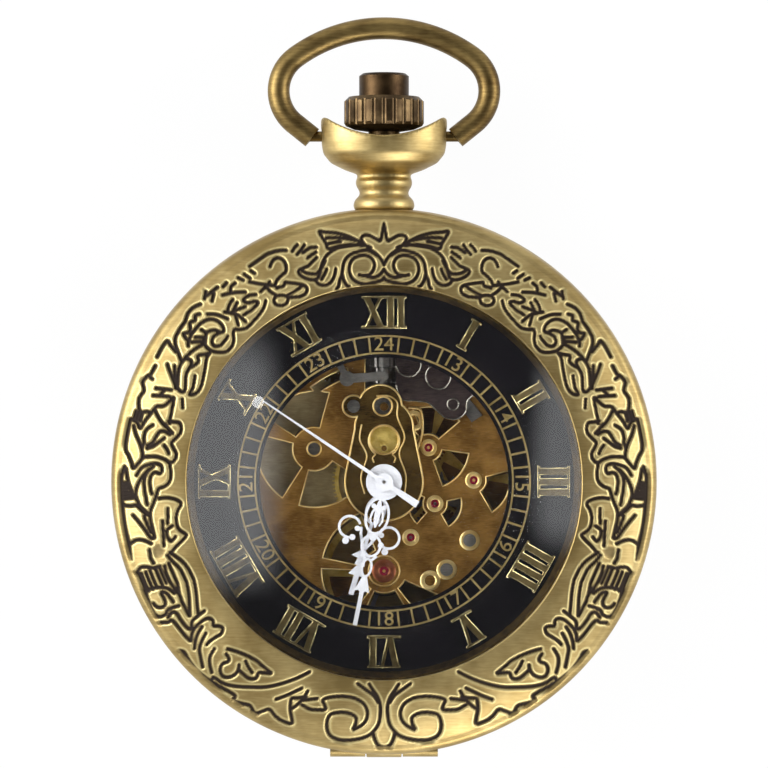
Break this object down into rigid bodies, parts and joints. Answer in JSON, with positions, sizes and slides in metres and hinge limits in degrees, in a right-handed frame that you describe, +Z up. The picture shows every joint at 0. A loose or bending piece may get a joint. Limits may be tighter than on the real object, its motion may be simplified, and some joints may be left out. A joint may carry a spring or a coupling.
{
  "type": "pocket watch",
  "caption": "Hunter-cased skeleton pocket watch with a hinged magnifier cover, Roman dial, hand-wound movement, knurled crown and swinging bow.",
  "frame": {"origin": "centre of the flat of the back, on the surface the watch lies on", "axes": "+Z up through the dial, +Y to twelve o'clock and the crown, +X to three o'clock"},
  "size_m": [0.047, 0.0636, 0.0165],
  "materials": {
    "aged_brass": "antique, dark in the engraving",
    "dark_bronze": "antique, brown",
    "plain_brass": "satin",
    "gilt_brass": "gilt, bright edges",
    "wheel_brass": "polished",
    "polished_steel": "fine brushed",
    "spring_steel": "plain",
    "ruby": "polished",
    "crystal_glass": "polished",
    "lens_glass": "polished",
    "black_dial": "satin black",
    "gold_figures": "satin gold",
    "white_hands": "white"
  },
  "bodies": {
    "case": {"case_band": "aged_brass", "case_back": "aged_brass", "pendant": "aged_brass", "hinge_pin": "plain_brass", "lift_spring": "spring_steel", "crystal_bezel": "plain_brass", "inner_crystal": "crystal_glass", "main_plate": "gilt_brass", "barrel_bridge": "gilt_brass", "train_bridge": "gilt_brass", "balance_cock": "gilt_brass", "pallet_bridge": "gilt_brass", "motion_bridge": "polished_steel", "movement_ring": "plain_brass", "bridge_screws": "polished_steel", "case_screws": "polished_steel", "dial_side_screws": "polished_steel", "jewels": "ruby", "setting_spring": "polished_steel", "click_spring": "spring_steel", "dial_ring": "black_dial", "hour_numerals": "gold_figures"},
    "front_cover": {"cover_ring": "aged_brass", "magnifier_lens": "lens_glass", "lens_retainer": "plain_brass"},
    "latch": {"cover_latch": "polished_steel"},
    "bow": {"bow": "aged_brass"},
    "winding_pinion": {"winding_pinion": "polished_steel"},
    "stem": {"winding_stem": "polished_steel", "crown": "dark_bronze", "button_spring": "spring_steel"},
    "button": {"cover_button": "dark_bronze"},
    "sliding_pinion": {"sliding_pinion": "polished_steel"},
    "setting_lever": {"setting_lever": "polished_steel"},
    "yoke": {"yoke": "polished_steel"},
    "crown_wheel": {"contrate_wheel": "polished_steel", "crown_wheel": "polished_steel"},
    "ratchet": {"ratchet_wheel": "polished_steel", "barrel_arbor": "polished_steel", "ratchet_screw": "polished_steel"},
    "click": {"click": "polished_steel"},
    "barrel": {"barrel_drum": "gilt_brass", "barrel_cover": "gilt_brass", "mainspring": "spring_steel"},
    "centre": {"centre_wheel": "wheel_brass", "cannon_pinion": "polished_steel", "minute_hand": "white_hands"},
    "third_wheel": {"third_wheel": "wheel_brass"},
    "fourth_wheel": {"fourth_wheel": "wheel_brass"},
    "sweep_seconds": {"sweep_seconds_pinion": "polished_steel", "seconds_hand": "white_hands"},
    "escape_wheel": {"escape_wheel": "polished_steel"},
    "pallet_fork": {"pallet_fork": "polished_steel"},
    "balance": {"balance_wheel": "wheel_brass", "hairspring": "spring_steel"},
    "regulator": {"regulator": "polished_steel"},
    "minute_wheel": {"minute_wheel": "wheel_brass"},
    "hour": {"hour_wheel": "wheel_brass", "hour_hand": "white_hands"},
    "setting_wheel": {"setting_wheel": "polished_steel"}
  },
  "joints": [
    {"name": "cover_hinge", "type": "hinge", "parent": "case", "child": "front_cover", "pos_m": [0, -0.0228, 0.0094], "axis": [1, 0, 0], "range_deg": [0, 100]},
    {"name": "bow_swing", "type": "hinge", "parent": "case", "child": "bow", "pos_m": [0, 0.02975, 0.006], "axis": [1, 0, 0], "range_deg": [-90, 90]},
    {"name": "winding_turn", "type": "hinge", "parent": "case", "child": "winding_pinion", "pos_m": [0, 0.009, 0.006], "axis": [0, 1, 0], "continuous": true},
    {"name": "crown_pull", "type": "slide", "parent": "winding_pinion", "child": "stem", "axis": [0, 1, 0], "range_m": [0, 0.0008]},
    {"name": "sliding_pinion_shift", "type": "slide", "parent": "winding_pinion", "child": "sliding_pinion", "axis": [0, 1, 0], "range_m": [-0.0004, 0]},
    {"name": "button_press", "type": "slide", "parent": "stem", "child": "button", "axis": [0, -1, 0], "range_m": [0, 0.0005], "stiffness_N_per_m": 400, "springref_m": -0.0005},
    {"name": "latch_swing", "type": "hinge", "parent": "case", "child": "latch", "pos_m": [0.01421, 0.01421, 0.009], "axis": [0, 0, 1], "range_deg": [0, 2.2]},
    {"name": "setting_lever_swing", "type": "hinge", "parent": "case", "child": "setting_lever", "pos_m": [0.003, 0.01205, 0.007], "axis": [0, 0, 1], "range_deg": [-16, 0]},
    {"name": "yoke_swing", "type": "hinge", "parent": "case", "child": "yoke", "pos_m": [-0.0029, 0.0081, 0.0072], "axis": [0, 0, 1], "range_deg": [-8.5, 0]},
    {"name": "crown_wheel_turn", "type": "hinge", "parent": "case", "child": "crown_wheel", "pos_m": [0, 0.0079, 0.002], "axis": [0, 0, 1], "continuous": true},
    {"name": "ratchet_turn", "type": "hinge", "parent": "case", "child": "ratchet", "pos_m": [-0.00546, 0.00254, 0.002], "axis": [0, 0, 1], "continuous": true},
    {"name": "click_rock", "type": "hinge", "parent": "case", "child": "click", "pos_m": [-0.01045, 0.00655, 0.0015], "axis": [0, 0, 1], "range_deg": [0, 8], "stiffness_Nm_per_rad": 0.0001, "springref_deg": -5.73},
    {"name": "centre_turn", "type": "hinge", "parent": "case", "child": "centre", "pos_m": [0, 0, 0.004], "axis": [0, 0, -1], "continuous": true},
    {"name": "barrel_turn", "type": "hinge", "parent": "case", "child": "barrel", "pos_m": [-0.00546, 0.00254, 0.004], "axis": [0, 0, -1], "continuous": true},
    {"name": "third_turn", "type": "hinge", "parent": "case", "child": "third_wheel", "pos_m": [0.00346, 0.00264, 0.004], "axis": [0, 0, -1], "continuous": true},
    {"name": "fourth_turn", "type": "hinge", "parent": "case", "child": "fourth_wheel", "pos_m": [0.007, 0.0001, 0.004], "axis": [0, 0, -1], "continuous": true},
    {"name": "seconds_turn", "type": "hinge", "parent": "case", "child": "sweep_seconds", "pos_m": [0, 0, 0.004], "axis": [0, 0, -1], "continuous": true},
    {"name": "escape_turn", "type": "hinge", "parent": "case", "child": "escape_wheel", "pos_m": [0.00397, -0.00171, 0.004], "axis": [0, 0, -1], "continuous": true},
    {"name": "minute_wheel_turn", "type": "hinge", "parent": "case", "child": "minute_wheel", "pos_m": [0, 0.0026, 0.004], "axis": [0, 0, -1], "continuous": true},
    {"name": "hour_turn", "type": "hinge", "parent": "case", "child": "hour", "pos_m": [0, 0, 0.004], "axis": [0, 0, -1], "continuous": true},
    {"name": "setting_wheel_turn", "type": "hinge", "parent": "case", "child": "setting_wheel", "pos_m": [0, 0.00585, 0.004], "axis": [0, 0, -1], "continuous": true},
    {"name": "fork_swing", "type": "hinge", "parent": "case", "child": "pallet_fork", "pos_m": [0.00208, -0.00435, 0.0043], "axis": [0, 0, 1], "range_deg": [-5, 5]},
    {"name": "balance_swing", "type": "hinge", "parent": "case", "child": "balance", "pos_m": [0, -0.00698, 0.003], "axis": [0, 0, 1], "range_deg": [-150, 150], "stiffness_Nm_per_rad": 0.000001},
    {"name": "regulator_turn", "type": "hinge", "parent": "case", "child": "regulator", "pos_m": [0, -0.00698, 0.0012], "axis": [0, 0, 1], "range_deg": [-15, 15]}
  ],
  "couplings": [
    {"joint": "sliding_pinion_shift", "follows": "crown_pull", "ratio": -0.5},
    {"joint": "setting_lever_swing", "follows": "crown_pull", "rad_per_m": -331.38},
    {"joint": "yoke_swing", "follows": "crown_pull", "rad_per_m": -172.14},
    {"joint": "latch_swing", "follows": "button_press", "rad_per_m": 70.359},
    {"joint": "crown_wheel_turn", "follows": "winding_turn", "ratio": 0.70588},
    {"joint": "ratchet_turn", "follows": "winding_turn", "ratio": -0.34433},
    {"joint": "barrel_turn", "follows": "centre_turn", "ratio": -0.13158},
    {"joint": "third_turn", "follows": "centre_turn", "ratio": -8},
    {"joint": "fourth_turn", "follows": "centre_turn", "ratio": 60},
    {"joint": "seconds_turn", "follows": "centre_turn", "ratio": 60},
    {"joint": "escape_turn", "follows": "centre_turn", "ratio": -600},
    {"joint": "minute_wheel_turn", "follows": "centre_turn", "ratio": -0.33333},
    {"joint": "hour_turn", "follows": "centre_turn", "ratio": 0.083333},
    {"joint": "setting_wheel_turn", "follows": "centre_turn", "ratio": 0.5}
  ]
}
